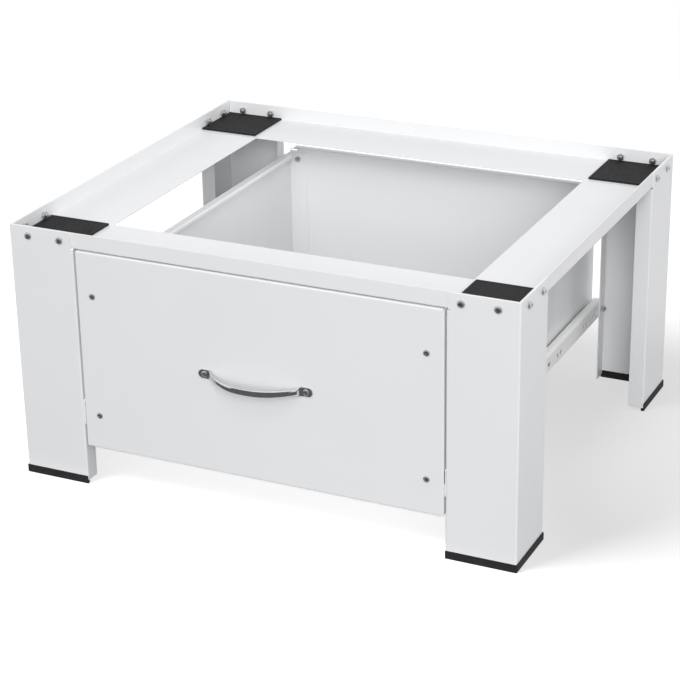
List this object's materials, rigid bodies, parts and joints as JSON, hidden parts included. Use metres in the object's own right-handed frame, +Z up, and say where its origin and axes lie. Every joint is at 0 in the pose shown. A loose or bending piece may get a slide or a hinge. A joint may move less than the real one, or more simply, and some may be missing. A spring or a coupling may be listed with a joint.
{
  "type": "washer pedestal drawer",
  "caption": "White sheet-steel stand for a washing machine, open on corner legs with rubber feet and pads, and a storage drawer on roller slides below its top frame.",
  "frame": {"origin": "on the floor under the middle of the whole object's box", "axes": "+X to the right as seen from the front, +Y to the back, +Z up; the drawer opens along -Y"},
  "size_m": [0.6364, 0.5744, 0.319],
  "materials": {
    "white_powder_coat": "gloss white powder coat on sheet steel",
    "slide_epoxy_coat": "satin white epoxy coat on rolled steel",
    "black_rubber": "matt ribbed black rubber",
    "zinc_plated_steel": "bright zinc plate",
    "chromed_steel": "polished chrome plate",
    "roller_nylon": "natural white nylon"
  },
  "bodies": {
    "stand": {"leg_front_left": "white_powder_coat", "foot_front_left": "black_rubber", "pad_front_left": "black_rubber", "corner_bolt_front_left_y1": "zinc_plated_steel", "corner_bolt_front_left_y2": "zinc_plated_steel", "corner_bolt_front_left_x1": "zinc_plated_steel", "corner_bolt_front_left_x2": "zinc_plated_steel", "leg_front_right": "white_powder_coat", "foot_front_right": "black_rubber", "pad_front_right": "black_rubber", "corner_bolt_front_right_y1": "zinc_plated_steel", "corner_bolt_front_right_y2": "zinc_plated_steel", "corner_bolt_front_right_x1": "zinc_plated_steel", "corner_bolt_front_right_x2": "zinc_plated_steel", "leg_back_left": "white_powder_coat", "foot_back_left": "black_rubber", "pad_back_left": "black_rubber", "corner_bolt_back_left_y1": "zinc_plated_steel", "corner_bolt_back_left_y2": "zinc_plated_steel", "corner_bolt_back_left_x1": "zinc_plated_steel", "corner_bolt_back_left_x2": "zinc_plated_steel", "leg_back_right": "white_powder_coat", "foot_back_right": "black_rubber", "pad_back_right": "black_rubber", "corner_bolt_back_right_y1": "zinc_plated_steel", "corner_bolt_back_right_y2": "zinc_plated_steel", "corner_bolt_back_right_x1": "zinc_plated_steel", "corner_bolt_back_right_x2": "zinc_plated_steel", "top_rail_back": "white_powder_coat", "top_rail_front": "white_powder_coat", "top_rail_left": "white_powder_coat", "top_rail_right": "white_powder_coat", "slide_channel_left": "slide_epoxy_coat", "slide_screw_front_left": "zinc_plated_steel", "slide_screw_back_left": "zinc_plated_steel", "slide_channel_right": "slide_epoxy_coat", "slide_screw_front_right": "zinc_plated_steel", "slide_screw_back_right": "zinc_plated_steel"},
    "drawer": {"drawer_front": "white_powder_coat", "drawer_back": "white_powder_coat", "drawer_floor": "white_powder_coat", "handle": "chromed_steel", "drawer_side_left": "white_powder_coat", "slide_runner_left": "slide_epoxy_coat", "front_screw_bottom_left": "zinc_plated_steel", "back_screw_bottom_left": "zinc_plated_steel", "front_screw_top_left": "zinc_plated_steel", "back_screw_top_left": "zinc_plated_steel", "handle_screw_left": "zinc_plated_steel", "drawer_side_right": "white_powder_coat", "slide_runner_right": "slide_epoxy_coat", "front_screw_bottom_right": "zinc_plated_steel", "back_screw_bottom_right": "zinc_plated_steel", "front_screw_top_right": "zinc_plated_steel", "back_screw_top_right": "zinc_plated_steel", "handle_screw_right": "zinc_plated_steel"},
    "front_roller_left": {"front_roller_left": "roller_nylon"},
    "rear_roller_left": {"rear_roller_left": "roller_nylon"},
    "front_roller_right": {"front_roller_right": "roller_nylon"},
    "rear_roller_right": {"rear_roller_right": "roller_nylon"}
  },
  "joints": [
    {"name": "drawer_slide", "type": "slide", "parent": "stand", "child": "drawer", "axis": [0, -1, 0], "range_m": [0, 0.39]},
    {"name": "front_roller_left_spin", "type": "hinge", "parent": "stand", "child": "front_roller_left", "pos_m": [-0.2255, -0.224, 0.0875], "axis": [1, 0, 0], "range_deg": [0, 2032]},
    {"name": "rear_roller_left_spin", "type": "hinge", "parent": "drawer", "child": "rear_roller_left", "pos_m": [-0.2255, 0.2535, 0.1033], "axis": [1, 0, 0], "range_deg": [0, 2032]},
    {"name": "front_roller_right_spin", "type": "hinge", "parent": "stand", "child": "front_roller_right", "pos_m": [0.2255, -0.224, 0.0875], "axis": [1, 0, 0], "range_deg": [0, 2032]},
    {"name": "rear_roller_right_spin", "type": "hinge", "parent": "drawer", "child": "rear_roller_right", "pos_m": [0.2255, 0.2535, 0.1033], "axis": [1, 0, 0], "range_deg": [0, 2032]}
  ],
  "couplings": [
    {"joint": "front_roller_left_spin", "follows": "drawer_slide", "rad_per_m": 90.909},
    {"joint": "rear_roller_left_spin", "follows": "drawer_slide", "rad_per_m": 90.909},
    {"joint": "front_roller_right_spin", "follows": "drawer_slide", "rad_per_m": 90.909},
    {"joint": "rear_roller_right_spin", "follows": "drawer_slide", "rad_per_m": 90.909}
  ]
}
